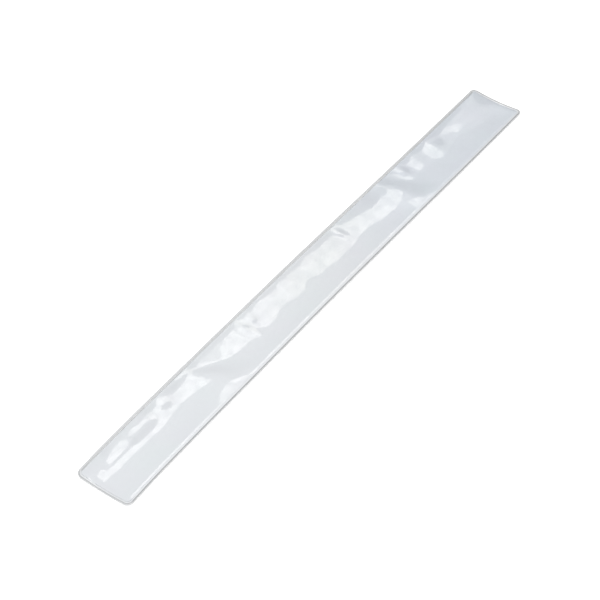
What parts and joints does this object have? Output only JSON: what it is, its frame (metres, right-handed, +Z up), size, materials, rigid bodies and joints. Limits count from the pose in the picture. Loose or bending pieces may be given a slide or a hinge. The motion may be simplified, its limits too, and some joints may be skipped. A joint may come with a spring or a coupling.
{
  "type": "slap bracelet",
  "caption": "Straight band of reflective film over a curved spring strip, which curls round a wrist or ankle when slapped on.",
  "frame": {"origin": "on the surface that the band rests on, under the middle of the band", "axes": "+X along the band, +Y across it, +Z up out of the reflective face, away from the wearer"},
  "size_m": [0.32, 0.03, 0.0044],
  "materials": {
    "weld_rim": "glossy pressed weld in silver-white film",
    "front_film": "glossy silver-white reflective film with fine cells",
    "back_film": "satin white film with a fine leather-like grain",
    "spring_strip": "cold-rolled spring steel"
  },
  "bodies": {
    "root": {"weld_rim": "weld_rim", "front_film": "front_film", "back_film": "back_film", "spring_strip": "spring_strip"}
  },
  "joints": []
}
